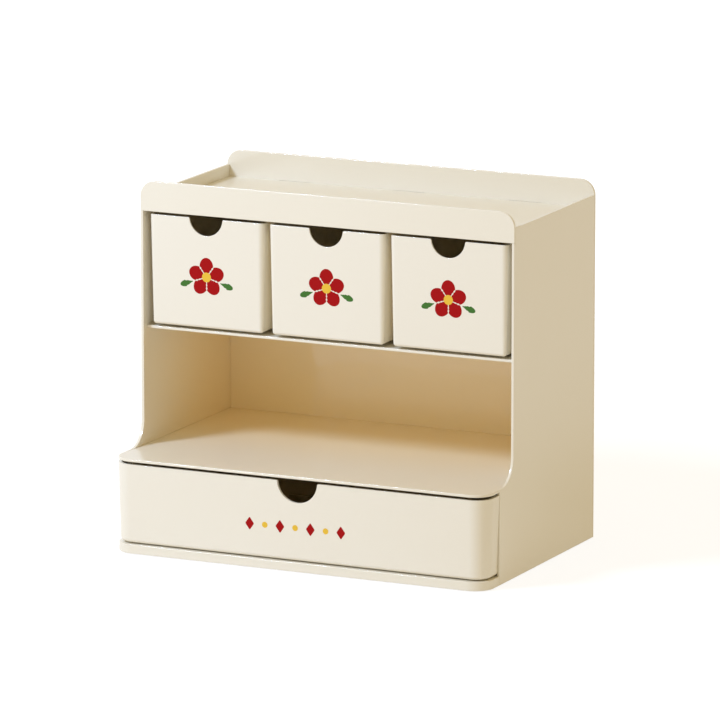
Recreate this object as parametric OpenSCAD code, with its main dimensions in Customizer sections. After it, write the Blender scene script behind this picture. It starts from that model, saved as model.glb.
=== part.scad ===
// Desktop drawer unit: an open cabinet of flat panels, with three small drawers side by side under a
// shallow top tray, an open bay below them, and one wide drawer at the bottom.
// The front faces -Y. The origin is the middle of the footprint, on the surface that the feet stand on.

/* [Cabinet] */
// Width over the two side panels
cabinet_width = 280; // [250:1:340]
// Depth from the front of the base to the back of the back panel
cabinet_depth = 180.5; // [150:0.5:230]
// Thickness of the side panels, the back panel and the front lip
panel_thickness = 2.1; // [1.8:0.1:3]
// Thickness of the tray floor and of both shelves
shelf_thickness = 2; // [1.6:0.1:3]
// How far the upper storeys stand behind the front of the base
upper_setback = 45.3; // [40:0.1:60]
// How far the side panels stand behind the front of the base beside the wide drawer
lower_setback = 23; // [18:0.5:26]
// Radius of the inner curve where the side panels step back above the wide drawer
step_radius = 18; // [8:0.5:18]
// Radius of the front corners of the base and the lower shelf
front_corner_radius = 14; // [6:0.5:16]
// How far the middle shelf stands behind the front of the lip
shelf_setback = 5.5; // [3:0.5:10]

/* [Storeys] */
// Height of the base
base_height = 6.3; // [5.5:0.1:12]
// Clear height between the base and the lower shelf
wide_bay_height = 57.7; // [45:0.1:90]
// Clear height of the open bay
open_bay_height = 81; // [60:0.5:120]
// Clear height between the middle shelf and the tray floor
small_bay_height = 80.4; // [60:0.1:100]
// Height of the side walls of the top tray
tray_wall_height = 8.6; // [4:0.1:20]
// How far the lip and the back panel rise above the side panels
end_rise = 10.5; // [4:0.1:20]
// Radius of the upper corners of the lip and the back panel
end_corner_radius = 11; // [4:0.5:12]

/* [Small drawers] */
// Gap beside each small drawer at its rim
small_side_gap = 3.95; // [3:0.05:6]
// Gap between the rim of a small drawer and the tray floor
small_top_gap = 2; // [1:0.1:4]
// Gap between the floor of a small drawer and the middle shelf
small_bottom_gap = 2; // [1:0.1:4]
// How far the small drawers stand behind the face of the lip
small_front_setback = 1; // [0:0.1:3]
// Wall thickness of a small drawer
small_wall = 1.5; // [1.2:0.1:2.2]
// Floor thickness of a small drawer
small_floor = 1.8; // [1.2:0.1:3]
// Corner radius of a small drawer at its rim
small_corner_radius = 4; // [3.6:0.1:8]
// Outer rounding between the walls and the floor of a small drawer
small_fillet = 2.2; // [0.8:0.1:2.2]
// Inner rounding between the walls and the floor of a small drawer
small_inner_fillet = 0.6; // [0.3:0.1:0.7]
// Draft of the walls of a small drawer, in degrees
small_draft = 1.2; // [0.5:0.1:1.3]
// Radius of the finger notch of a small drawer
small_notch_radius = 12.5; // [9:0.1:16]

/* [Wide drawer] */
// Gap between each end of the drawer front and the outside of the cabinet
wide_end_inset = 0.2; // [0:0.1:2]
// Gap between each side of the drawer body and the side panels at its rim
wide_side_gap = 1.5; // [0.8:0.1:3]
// Gap between the drawer front and the front edges of the side panels
wide_shoulder_gap = 0.5; // [0.3:0.1:2]
// Gap between the rim of the wide drawer and the lower shelf
wide_top_gap = 2; // [1:0.1:4]
// Gap between the floor of the wide drawer and the base
wide_bottom_gap = 0.7; // [0.5:0.1:2]
// How far the wide drawer stands behind the front of the base
wide_front_setback = 0.9; // [0:0.1:3]
// Wall thickness of the wide drawer
wide_wall = 2; // [1.5:0.1:2.5]
// Floor thickness of the wide drawer
wide_floor = 2; // [1.5:0.1:3]
// Radius of the front corners of the wide drawer at its rim
wide_corner_radius = 12.5; // [8:0.5:14]
// Radius of the rear corners of the wide drawer at its rim
wide_rear_radius = 8; // [6:0.5:12]
// Outer rounding between the walls and the floor of the wide drawer
wide_fillet = 2.5; // [1.5:0.1:3]
// Inner rounding between the walls and the floor of the wide drawer
wide_inner_fillet = 1; // [0.5:0.1:2]
// Draft of the walls of the wide drawer, in degrees
wide_draft = 1.3; // [0.5:0.1:1.5]
// Radius of the finger notch of the wide drawer
wide_notch_radius = 15; // [10:0.1:20]

/* [Drawer details] */
// How far the centre of a finger notch lies above the rim
notch_rise = 0.4; // [0:0.1:1]
// Rounding where a finger notch runs out into the rim
notch_mouth_radius = 1; // [0.5:0.1:2]
// Running gap between a drawer's ribs and the plate that carries them
running_gap = 0.3; // [0.2:0.05:0.5]
// Gap between the rear rim of a closed drawer and the back panel
stop_gap = 0.3; // [0.2:0.05:1]
// Width of the running ribs under the drawers
rib_width = 2.4; // [1.6:0.1:4]
// How far the running ribs and the guide rails start behind the front of a drawer
rib_front_inset = 14; // [10:1:30]
// Gap between each running rib of a small drawer and its guide rail
guide_gap = 0.5; // [0.3:0.1:1]
// Width of the guide rails on the middle shelf
guide_width = 4; // [3:0.1:8]
// Distance of the running ribs of the wide drawer from its middle
wide_rib_offset = 105; // [70:1:112]

/* [Joints between panels] */
// Depth of the grooves in the side panels and of the rebate in the lip
groove_depth = 1; // [0.6:0.1:1.1]
// Clearance around each tongue and tab
seat_gap = 0.1; // [0.05:0.05:0.2]
// Width of the tabs that pass through the back panel
tab_width = 24; // [12:1:36]
// Distance of the outer tabs from the middle of the cabinet
tab_offset = 88; // [60:1:95]

/* [Base and feet] */
// Thickness of the upper skin of the base
base_skin = 2; // [1.6:0.1:2.4]
// Thickness of the skirt round the base
base_skirt = 2.1; // [1.6:0.1:3]
// Thickness of the stiffening ribs under the base
base_rib = 1.5; // [1:0.1:2.5]
// Number of stiffening ribs that run from front to back
base_rib_count = 5; // [1:2:7]
// Diameter of the rubber feet
foot_diameter = 14; // [10:0.5:18]
// Thickness of the rubber feet
foot_thickness = 2; // [1.6:0.1:2.4]
// How far the rubber feet stand out below the base
foot_reach = 0.6; // [0.4:0.1:1]
// Wall of the sockets that hold the feet
foot_socket_wall = 1.8; // [1.2:0.1:3]
// Distance of the feet from the sides, the front and the back
foot_inset = 20; // [17:1:26]

/* [Hidden] */
$fn = 96;

cream = [0.93, 0.91, 0.86];
warm_cream = [0.91, 0.88, 0.82];
dark_rubber = [0.25, 0.24, 0.23];
over = 1;
// Largest share of a corner's radius at the floor that the rounding below it may take
largest_rounding = 0.95;
// Number of flats that a rounding below a drawer wall is made of
rounding_steps = 6;
// Number of flats on each rounded corner of a finger notch
mouth_steps = 5;

// Levels of the storeys above the underside of the base
lower_shelf_z = base_height + wide_bay_height;
open_bay_z = lower_shelf_z + shelf_thickness;
middle_shelf_z = open_bay_z + open_bay_height;
small_bay_z = middle_shelf_z + shelf_thickness;
tray_floor_z = small_bay_z + small_bay_height;
side_height = tray_floor_z + shelf_thickness + tray_wall_height;
end_height = side_height + end_rise;

// Depths behind the front of the base
lip_back_y = upper_setback + panel_thickness;
back_panel_y = cabinet_depth - panel_thickness;
shelf_front_y = upper_setback + shelf_setback;

inner_width = cabinet_width - 2 * panel_thickness;
tongue = groove_depth - seat_gap;
tongue_width = inner_width + 2 * tongue;

small_count = 3;
small_width = (inner_width - (small_count + 1) * small_side_gap) / small_count;
small_pitch = small_width + small_side_gap;
small_front_y = upper_setback + small_front_setback;
small_depth = back_panel_y - stop_gap - small_front_y;
small_height = small_bay_height - small_top_gap - small_bottom_gap;

wide_front_y = wide_front_setback;
wide_front_width = cabinet_width - 2 * wide_end_inset;
wide_body_width = inner_width - 2 * wide_side_gap;
wide_shoulder_y = lower_setback - wide_shoulder_gap;
wide_depth = back_panel_y - stop_gap - wide_front_y;
wide_height = wide_bay_height - wide_top_gap - wide_bottom_gap;

small_rib_height = small_bottom_gap - running_gap;
wide_rib_height = wide_bottom_gap - running_gap;
guide_height = small_bottom_gap - running_gap;
rib_rear_inset = small_corner_radius + rib_width;
socket_radius = foot_diameter / 2 + foot_socket_wall;

// Puts a piece that is drawn from the front of the base, at floor level, into the part's own frame.
module place() {
    translate([0, -cabinet_depth / 2, foot_reach])
        children();
}

// A box centred on X, from its front, its lowest level and its sizes.
module slab(width, depth, height, y, z) {
    translate([-width / 2, y, z])
        cube([width, depth, height]);
}

// A flat plate that rises from z = 0, stands across the cabinet and has two rounded upper corners.
module upright_plate(height, y, thickness) {
    translate([0, y + thickness, 0])
        rotate([90, 0, 0])
            linear_extrude(thickness) {
                translate([-cabinet_width / 2, 0])
                    square([cabinet_width, height - end_corner_radius]);
                translate([-cabinet_width / 2 + end_corner_radius, 0])
                    square([cabinet_width - 2 * end_corner_radius, height]);
                for (side = [-1, 1])
                    translate([side * (cabinet_width / 2 - end_corner_radius), height - end_corner_radius])
                        circle(end_corner_radius);
            }
}

// A full-width front strip with two rounded corners, as far back as the side panels reach forward, or
// the same form one inset smaller all round.
module front_strip(inset, height, z) {
    radius = front_corner_radius - inset;
    half = cabinet_width / 2 - inset;
    translate([0, 0, z])
        linear_extrude(height) {
            translate([-half + radius, inset])
                square([2 * (half - radius), lower_setback - 2 * inset]);
            translate([-half, inset + radius])
                square([2 * half, lower_setback - 2 * inset - radius]);
            for (side = [-1, 1])
                translate([side * (half - radius), inset + radius])
                    circle(radius);
        }
}

// The tabs at the back edge of a plate, which pass through the back panel.
module back_tabs(z, thickness, gap) {
    for (x = [-tab_offset, 0, tab_offset])
        translate([x, 0, 0])
            slab(tab_width + 2 * gap, panel_thickness, thickness + 2 * gap, back_panel_y, z - gap);
}

// Outline of a side panel, seen from the side: x runs towards the back and y runs up.
module side_outline() {
    difference() {
        union() {
            translate([lower_setback, 0])
                square([back_panel_y - lower_setback, open_bay_z]);
            translate([upper_setback, 0])
                square([lip_back_y - upper_setback, tray_floor_z]);
            translate([lip_back_y, 0])
                square([back_panel_y - lip_back_y, side_height]);
            translate([upper_setback - step_radius, open_bay_z])
                square(step_radius);
        }
        translate([upper_setback - step_radius, open_bay_z + step_radius])
            circle(step_radius);
    }
}

// The groove that takes the edge of one plate, cut into the inner face of a side panel.
module side_groove(y, z, thickness) {
    translate([-inner_width / 2 - groove_depth, y, z - seat_gap])
        cube([groove_depth + over, back_panel_y - y + over, thickness + 2 * seat_gap]);
}

module side_panel() {
    difference() {
        translate([-cabinet_width / 2, 0, 0])
            rotate([90, 0, 90])
                linear_extrude(panel_thickness)
                    side_outline();
        side_groove(lower_setback - over, base_height - base_skin, base_skin);
        side_groove(lower_setback - over, lower_shelf_z, shelf_thickness);
        side_groove(shelf_front_y - seat_gap, middle_shelf_z, shelf_thickness);
        side_groove(lip_back_y - over, tray_floor_z, shelf_thickness);
    }
}

module left_side_panel() {
    color(cream)
        place()
            side_panel();
}

module right_side_panel() {
    color(cream)
        place()
            mirror([1, 0, 0])
                side_panel();
}

module back_panel() {
    color(cream)
        place()
            difference() {
                upright_plate(end_height, back_panel_y, panel_thickness);
                back_tabs(lower_shelf_z, shelf_thickness, seat_gap);
                back_tabs(middle_shelf_z, shelf_thickness, seat_gap);
                back_tabs(tray_floor_z, shelf_thickness, seat_gap);
            }
}

// The lip closes the tray at the front, and a rebate in its lower back edge takes the tray floor.
module front_lip() {
    color(cream)
        place()
            difference() {
                translate([0, 0, tray_floor_z])
                    upright_plate(end_height - tray_floor_z, upper_setback, panel_thickness);
                slab(
                    inner_width + 2 * groove_depth, groove_depth + over, shelf_thickness + seat_gap + over,
                    lip_back_y - groove_depth, tray_floor_z - over
                );
            }
}

module tray_floor() {
    color(warm_cream)
        place() {
            slab(
                tongue_width, back_panel_y - lip_back_y + tongue, shelf_thickness,
                lip_back_y - tongue, tray_floor_z
            );
            back_tabs(tray_floor_z, shelf_thickness, 0);
        }
}

// The middle shelf carries the small drawers, and one guide rail stands under each of them.
module middle_shelf() {
    rail_y = small_front_y + rib_front_inset;
    rail_depth = back_panel_y - rib_rear_inset - rail_y;
    color(warm_cream)
        place() {
            slab(tongue_width, back_panel_y - shelf_front_y, shelf_thickness, shelf_front_y, middle_shelf_z);
            back_tabs(middle_shelf_z, shelf_thickness, 0);
            for (column = [-1, 0, 1])
                translate([column * small_pitch, 0, 0])
                    slab(guide_width, rail_depth, guide_height, rail_y, small_bay_z);
        }
}

module lower_shelf() {
    color(warm_cream)
        place() {
            front_strip(0, shelf_thickness, lower_shelf_z);
            slab(tongue_width, back_panel_y - lower_setback, shelf_thickness, lower_setback, lower_shelf_z);
            back_tabs(lower_shelf_z, shelf_thickness, 0);
        }
}

// The middles of the four feet, seen from above.
function foot_places() = [
    for (x = [-1, 1], y = [foot_inset, cabinet_depth - foot_inset])
        [x * (cabinet_width / 2 - foot_inset), y]
];

// The base is a shallow plate, open below, with a skirt, stiffening ribs and a socket for each foot.
module base_plate() {
    skirt_height = base_height - base_skin;
    rib_height = base_height - base_skin / 2;
    rib_step = inner_width / (base_rib_count + 1);
    color(cream)
        place()
            difference() {
                union() {
                    difference() {
                        union() {
                            front_strip(0, base_height, 0);
                            slab(inner_width, back_panel_y - lower_setback, base_height, lower_setback, 0);
                            slab(
                                tongue_width, back_panel_y - lower_setback, base_skin,
                                lower_setback, base_height - base_skin
                            );
                        }
                        translate([0, 0, -over])
                            front_strip(base_skirt, skirt_height + over, 0);
                        slab(
                            inner_width - 2 * base_skirt, back_panel_y - lower_setback + over,
                            skirt_height + over, lower_setback - base_skirt - over, -over
                        );
                    }
                    for (rib = [1:base_rib_count])
                        translate([-inner_width / 2 + rib * rib_step, 0, 0])
                            slab(base_rib, back_panel_y - base_skirt, rib_height, base_skirt / 2, 0);
                    slab(inner_width - base_skirt, base_rib, rib_height, (cabinet_depth - base_rib) / 2, 0);
                    for (spot = foot_places())
                        translate([spot[0], spot[1], 0])
                            cylinder(h = rib_height, r = socket_radius);
                }
                for (spot = foot_places())
                    translate([spot[0], spot[1], -over])
                        cylinder(h = foot_thickness - foot_reach + over, r = foot_diameter / 2 + seat_gap);
            }
}

module rubber_feet() {
    color(dark_rubber)
        place()
            for (spot = foot_places())
                translate([spot[0], spot[1], -foot_reach])
                    cylinder(h = foot_thickness, r = foot_diameter / 2);
}

// Half of the upright section of a block with drafted sides and a rounded lower edge. The reach is
// measured at the rim, the wall leans in by the draft below it, and it goes on upright for a rise above it.
module drafted_half_section(reach, height, rounding, draft, rise) {
    toe = reach - height * tan(draft);
    centre = toe + rounding * tan(draft) - rounding / cos(draft);
    polygon(concat(
        [[0, 0]],
        [
            for (step = [0:rounding_steps])
                let (angle = (90 - draft) * step / rounding_steps)
                    [centre + rounding * sin(angle), rounding - rounding * cos(angle)]
        ],
        [[reach, height], [reach, height + rise], [0, height + rise]]
    ));
}

// The whole section, of both halves.
module drafted_section(reach, height, rounding, draft, rise) {
    drafted_half_section(reach, height, rounding, draft, rise);
    mirror([1, 0])
        drafted_half_section(reach, height, rounding, draft, rise);
}

// A block that narrows towards its floor, with upright corners of one radius. Its sizes are those of
// its rim, and it is centred on X and runs from y = 0 towards the back.
module drafted_block(width, depth, height, corner, fillet, draft, rise = 0) {
    half_x = width / 2 - corner;
    half_y = depth / 2 - corner;
    rounding = min(fillet, (corner - height * tan(draft)) * largest_rounding);
    translate([0, depth / 2, 0]) {
        translate([0, half_y, 0])
            rotate([90, 0, 0])
                linear_extrude(2 * half_y)
                    drafted_section(width / 2, height, rounding, draft, rise);
        translate([-half_x, 0, 0])
            rotate([90, 0, 90])
                linear_extrude(2 * half_x)
                    drafted_section(depth / 2, height, rounding, draft, rise);
        for (quarter = [0:3])
            translate([half_x * sign(cos(90 * quarter + 45)), half_y * sign(sin(90 * quarter + 45)), 0])
                rotate([0, 0, 90 * quarter])
                    rotate_extrude(angle = 90)
                        drafted_half_section(corner, height, rounding, draft, rise);
    }
}

// The hollow of a drawer: the same block, one wall smaller all round, cut out above the floor.
module drafted_hollow(width, depth, height, corner, fillet, draft, wall, floor) {
    translate([0, wall, floor])
        drafted_block(width - 2 * wall, depth - 2 * wall, height - floor, corner - wall, fillet, draft, over);
}

// The rounded upper corner of a finger notch, from the rim to the point where it meets the notch.
function mouth_arc(mouth_x, meeting_angle) = [
    for (step = [0:mouth_steps])
        let (angle = 90 + (meeting_angle - 90) * step / mouth_steps)
            [mouth_x + notch_mouth_radius * cos(angle), notch_mouth_radius * (sin(angle) - 1)]
];

// A finger notch cut down from the rim, with its two upper corners rounded off.
module finger_notch(radius, rim_z, depth) {
    drop = notch_rise + notch_mouth_radius;
    mouth_x = sqrt(pow(radius + notch_mouth_radius, 2) - pow(drop, 2));
    corner = mouth_arc(mouth_x, atan2(drop, -mouth_x));
    translate([0, depth, rim_z])
        rotate([90, 0, 0])
            linear_extrude(depth + over) {
                translate([0, notch_rise])
                    circle(radius);
                for (side = [0, 1])
                    mirror([side, 0])
                        polygon(concat([[0, notch_rise], [0, over], [mouth_x, over]], corner));
            }
}

// One small drawer, with two running ribs that stand on the shelf on both sides of the guide rail.
module small_drawer(column) {
    rib_x = guide_width / 2 + guide_gap + rib_width / 2;
    color(cream)
        place()
            translate([column * small_pitch, small_front_y, small_bay_z + small_bottom_gap]) {
                difference() {
                    drafted_block(
                        small_width, small_depth, small_height, small_corner_radius, small_fillet, small_draft
                    );
                    drafted_hollow(
                        small_width, small_depth, small_height, small_corner_radius, small_inner_fillet,
                        small_draft, small_wall, small_floor
                    );
                    finger_notch(small_notch_radius, small_height, small_depth / 2);
                }
                for (side = [-1, 1])
                    translate([side * rib_x, 0, 0])
                        slab(
                            rib_width, small_depth - rib_front_inset - rib_rear_inset,
                            small_rib_height + small_floor / 2, rib_front_inset, -small_rib_height
                        );
            }
}

module small_drawer_left() {
    small_drawer(-1);
}

module small_drawer_middle() {
    small_drawer(0);
}

module small_drawer_right() {
    small_drawer(1);
}

// Keeps only the part of the wide drawer's front that lies before its shoulders.
module before_shoulders(inset) {
    depth = wide_shoulder_y - wide_front_y - inset;
    intersection() {
        children();
        slab(cabinet_width, depth + over, wide_height + 2 * over, -over, -over);
    }
}

// The outside of the wide drawer: a front as wide as the cabinet and a narrower body behind it.
module wide_outside() {
    before_shoulders(0)
        drafted_block(wide_front_width, wide_depth, wide_height, wide_corner_radius, wide_fillet, wide_draft);
    translate([0, wide_wall, 0])
        drafted_block(
            wide_body_width, wide_depth - wide_wall, wide_height, wide_rear_radius, wide_fillet, wide_draft
        );
}

// The inside of the wide drawer, one wall smaller all round.
module wide_inside() {
    before_shoulders(wide_wall)
        drafted_hollow(
            wide_front_width, wide_depth, wide_height, wide_corner_radius, wide_inner_fillet,
            wide_draft, wide_wall, wide_floor
        );
    translate([0, wide_wall, 0])
        drafted_hollow(
            wide_body_width, wide_depth - wide_wall, wide_height, wide_rear_radius,
            wide_inner_fillet, wide_draft, wide_wall, wide_floor
        );
}

module wide_drawer() {
    color(cream)
        place()
            translate([0, wide_front_y, base_height + wide_bottom_gap]) {
                difference() {
                    wide_outside();
                    wide_inside();
                    finger_notch(wide_notch_radius, wide_height, wide_depth / 2);
                }
                for (side = [-1, 1])
                    translate([side * wide_rib_offset, 0, 0])
                        slab(
                            rib_width, wide_depth - rib_front_inset - wide_rear_radius,
                            wide_rib_height + wide_floor / 2, rib_front_inset, -wide_rib_height
                        );
            }
}

left_side_panel();
right_side_panel();
back_panel();
front_lip();
tray_floor();
middle_shelf();
lower_shelf();
base_plate();
small_drawer_left();
small_drawer_middle();
small_drawer_right();
wide_drawer();
rubber_feet();
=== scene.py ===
"""Gives the desktop drawer unit its looks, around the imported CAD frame.

Sizes are in millimetres. Each piece is modelled from the middle of the unit's front edge, at the underside
of the base, and is then settled into the frame, which is in metres.
"""

import logging
import math
from collections.abc import Callable, Iterator
from contextlib import contextmanager
from dataclasses import dataclass
from enum import Enum

import bmesh
import bpy
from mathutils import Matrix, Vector


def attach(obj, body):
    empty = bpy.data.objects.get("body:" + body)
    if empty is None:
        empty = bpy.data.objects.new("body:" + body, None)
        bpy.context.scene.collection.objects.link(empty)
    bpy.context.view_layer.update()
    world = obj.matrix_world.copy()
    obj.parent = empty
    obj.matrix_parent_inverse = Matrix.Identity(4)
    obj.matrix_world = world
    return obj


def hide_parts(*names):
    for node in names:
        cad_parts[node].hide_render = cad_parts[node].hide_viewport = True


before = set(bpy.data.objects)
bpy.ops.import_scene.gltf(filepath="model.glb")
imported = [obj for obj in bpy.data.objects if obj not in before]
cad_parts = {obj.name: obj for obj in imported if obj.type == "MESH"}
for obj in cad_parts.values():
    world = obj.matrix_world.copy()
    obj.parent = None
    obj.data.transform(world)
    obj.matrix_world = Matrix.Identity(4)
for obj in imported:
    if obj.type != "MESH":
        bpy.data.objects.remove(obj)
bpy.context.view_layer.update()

MM = 0.001
CABINET_DEPTH = 180.5
FOOT_REACH = 0.6
INTO_FRAME = (0.0, -CABINET_DEPTH / 2, FOOT_REACH)
COLUMN_PITCH = 90.617
LOG = logging.getLogger("drawer_unit")

# How far a cutting tool reaches past a surface, or a united form below it
OVERRUN = 1.0
# Thickness of printed ink, and how deep it lies in the surface
INK_DEPTH, INK_BEDDING = 0.12, 0.07
# Points on the rim of each part of a blossom
PETAL_POINTS = 40
# Metres below which points count as one, and edges as nothing
SAME_POINT, NO_LENGTH = 2e-6, 1e-6
# Degrees up to which faces form one plane or one shaded surface, and from which an edge is sharp
FLAT_ANGLE, SMOOTH_ANGLE, SHARP_ANGLE = 1, 35, 40
# Steps in the rounding of a sharp edge
SOFT_STEPS = 3
# Sockets of the Mix node, whose names repeat for each kind of data
MIX_FACTOR, MIX_FIRST, MIX_SECOND, MIX_RESULT = 0, 6, 7, 2

Triple = tuple[float, float, float]
Colour = tuple[float, float, float, float]
Pair = tuple[float, float]
Spot = Callable[[Vector], bool]
Material = bpy.types.Material
Inks = dict[str, Material]


class Grip(Enum):
    """What a selection takes hold of."""

    VERTICES = "VERT"
    EDGES = "EDGE"
    FACES = "FACE"


class Body(Enum):
    """The moving bodies of the unit, as the frame names them."""

    CABINET = "cabinet"
    LEFT = "drawer_left"
    MIDDLE = "drawer_middle"
    RIGHT = "drawer_right"
    WIDE = "drawer_wide"


class Slot(Enum):
    """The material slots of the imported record."""

    CABINET = "cabinet_plastic"
    DRAWER = "drawer_plastic"
    RUBBER = "foot_rubber"


def near(value: float, goal: float, slack: float = 0.05) -> bool:
    """Tells whether a length is within a slack of the one it should have."""
    return abs(value - goal) < slack


class Workpiece:
    """One mesh on the bench, shaped with Blender's own modelling operators."""

    def __init__(self, obj: bpy.types.Object) -> None:
        """Takes a mesh object to the bench."""
        self.obj = obj

    @classmethod
    def _started(cls, size: Triple, place: Triple) -> "Workpiece":
        """Gives the primitive just added its size and place.

        Args:
            size: Its extent along each axis.
            place: Its middle.

        Returns:
            The new workpiece.
        """
        obj = bpy.context.object
        obj.scale = Vector(size) * MM
        obj.location = Vector(place) * MM
        bpy.ops.object.transform_apply(location=True, rotation=True, scale=True)
        return cls(obj)

    @classmethod
    def sheet(cls, low: Pair, high: Pair) -> "Workpiece":
        """Lays out a flat rectangle on the bench.

        Args:
            low: Its lowest corner.
            high: Its highest corner.

        Returns:
            The new workpiece.
        """
        bpy.ops.mesh.primitive_plane_add(size=1)
        size = (high[0] - low[0], high[1] - low[1], 1 / MM)
        return cls._started(size, ((low[0] + high[0]) / 2, (low[1] + high[1]) / 2, 0))

    @classmethod
    def block(cls, low: Triple, high: Triple) -> "Workpiece":
        """Sets a block on the bench.

        Args:
            low: Its lowest corner.
            high: Its highest corner.

        Returns:
            The new workpiece.
        """
        bpy.ops.mesh.primitive_cube_add(size=1)
        size = Vector(high) - Vector(low)
        return cls._started(tuple(size), tuple(Vector(low) + size / 2))

    @classmethod
    def rod(
        cls, radius: float, length: float, middle: Triple, along_y: bool = False, points: int = 96
    ) -> "Workpiece":
        """Sets a round rod on the bench, upright or from front to back.

        Args:
            radius: Its radius.
            length: Its length.
            middle: Its middle.
            along_y: True for a rod that runs from front to back.
            points: Number of points around it.

        Returns:
            The new workpiece.
        """
        turn = (math.pi / 2, 0, 0) if along_y else (0, 0, 0)
        bpy.ops.mesh.primitive_cylinder_add(
            vertices=points, radius=radius * MM, depth=length * MM, rotation=turn
        )
        return cls._started((1 / MM,) * 3, middle)

    @classmethod
    def disc(cls, radius: float, points: int = 32) -> "Workpiece":
        """Lays a flat round disc on the bench.

        Args:
            radius: Its radius.
            points: Number of points on its rim.

        Returns:
            The new workpiece.
        """
        bpy.ops.mesh.primitive_circle_add(vertices=points, radius=radius * MM, fill_type="NGON")
        return cls._started((1 / MM,) * 3, (0, 0, 0))

    def hold(self) -> None:
        """Makes the piece the active one, and the only one selected."""
        bpy.ops.object.select_all(action="DESELECT")
        self.obj.select_set(True)
        bpy.context.view_layer.objects.active = self.obj

    @contextmanager
    def at_hand(self, grip: Grip = Grip.FACES, spot: Spot | None = None) -> Iterator[None]:
        """Holds the piece in edit mode for what is done inside, with a part of it selected.

        Args:
            grip: Vertices, edges with both ends in place, or faces with their middles in place.
            spot: Tells whether a point is in place, or None for the whole piece.
        """
        self.hold()
        bpy.ops.object.mode_set(mode="EDIT")
        bpy.ops.mesh.select_all(action="DESELECT" if spot else "SELECT")
        if spot:
            bpy.ops.mesh.select_mode(type=grip.value)
            mesh = bmesh.from_edit_mesh(self.obj.data)
            for item in {Grip.VERTICES: mesh.verts, Grip.EDGES: mesh.edges, Grip.FACES: mesh.faces}[grip]:
                if grip is Grip.FACES:
                    points = [item.calc_center_median()]
                else:
                    points = [corner.co for corner in ([item] if grip is Grip.VERTICES else item.verts)]
                if all(spot(point / MM) for point in points):
                    item.select_set(True)
            mesh.select_flush_mode()
            bmesh.update_edit_mesh(self.obj.data)
        yield
        bpy.ops.object.mode_set(mode="OBJECT")

    def score(self, across: list[float], up: list[float]) -> None:
        """Scores a sheet along straight lines.

        Args:
            across: Where it is scored along Y.
            up: Where it is scored along X.
        """
        lines = [(Vector((1, 0, 0)), x) for x in across] + [(Vector((0, 1, 0)), y) for y in up]
        with self.at_hand():
            for axis, place in lines:
                bpy.ops.mesh.select_all(action="SELECT")
                bpy.ops.mesh.bisect(plane_co=axis * place * MM, plane_no=axis, threshold=NO_LENGTH)

    def trim(self, spot: Spot) -> None:
        """Takes away the faces whose middles lie in a place."""
        with self.at_hand(Grip.FACES, spot):
            bpy.ops.mesh.delete(type="FACE")

    def fuse(self) -> None:
        """Joins the flat faces of a scored sheet into one."""
        with self.at_hand():
            bpy.ops.mesh.dissolve_limited(angle_limit=math.radians(FLAT_ANGLE))

    def round_off(self, radius: float, spot: Spot, steps: int = 16, grip: Grip = Grip.VERTICES) -> None:
        """Rounds the corners of a flat sheet, or the edges of a solid form.

        Args:
            radius: Radius of the rounding.
            spot: Tells where they are.
            steps: Number of steps in each rounding.
            grip: Vertices for corners, or edges.
        """
        with self.at_hand(grip, spot):
            bpy.ops.mesh.bevel(
                offset=radius * MM, segments=steps, affect=grip.name, profile=0.5, clamp_overlap=False
            )

    def thicken(self, thickness: float) -> None:
        """Extrudes the whole sheet into a plate.

        Args:
            thickness: Thickness of the plate.
        """
        with self.at_hand():
            bpy.ops.mesh.extrude_region_move(TRANSFORM_OT_translate={"value": (0, 0, thickness * MM)})
            bpy.ops.mesh.select_all(action="SELECT")
            bpy.ops.mesh.normals_make_consistent(inside=False)

    def sink(self, spot: Spot, border: float, depth: float = 0, way: Triple | None = None) -> None:
        """Insets faces, and moves what they enclose along their normals, or extrudes it straight.

        Args:
            spot: Tells where the faces are.
            border: Width of the border left around them.
            depth: How far the inner faces are moved, below zero against their normals.
            way: How far they are extruded along each axis, if at all.
        """
        with self.at_hand(Grip.FACES, spot):
            bpy.ops.mesh.inset(thickness=border * MM, depth=depth * MM, use_even_offset=True)
            if way:
                bpy.ops.mesh.extrude_region_move(TRANSFORM_OT_translate={"value": Vector(way) * MM})

    def pull(self, spot: Spot, way: Triple) -> None:
        """Moves the vertices that lie in a place."""
        with self.at_hand(Grip.VERTICES, spot):
            bpy.ops.transform.translate(value=Vector(way) * MM)

    def turn_inside_out(self) -> None:
        """Flips the normals of the whole piece."""
        with self.at_hand():
            bpy.ops.mesh.flip_normals()

    def place(self, shift: Triple = (0, 0, 0), turn: Triple = (0, 0, 0), scale: Triple = (1, 1, 1)) -> None:
        """Turns, scales and shifts the piece, and leaves its object at the origin.

        Args:
            shift: How far it goes along each axis.
            turn: Degrees about each axis.
            scale: Factor along each axis, below zero to mirror it.
        """
        self.hold()
        self.obj.rotation_euler = [math.radians(angle) for angle in turn]
        self.obj.location = Vector(shift) * MM
        self.obj.scale = scale
        bpy.ops.object.transform_apply(location=True, rotation=True, scale=True)

    def _modify(self, kind: str, **settings: object) -> None:
        """Adds a modifier and applies it.

        Args:
            kind: Type of the modifier.
            **settings: Its values.
        """
        self.hold()
        modifier = self.obj.modifiers.new(kind.title(), kind)
        for key, value in settings.items():
            setattr(modifier, key, value)
        bpy.ops.object.modifier_apply(modifier=modifier.name)

    def _combine(self, tool: "Workpiece", operation: str) -> None:
        """Combines the piece with another by a boolean operation."""
        self._modify("BOOLEAN", operation=operation, solver="EXACT", object=tool.obj)
        bpy.data.objects.remove(tool.obj, do_unlink=True)

    def unite(self, tool: "Workpiece") -> None:
        """Grows the piece by another, which is used up."""
        self._combine(tool, "UNION")

    def subtract(self, tool: "Workpiece") -> None:
        """Cuts another piece out of this one, which uses it up."""
        self._combine(tool, "DIFFERENCE")

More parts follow.
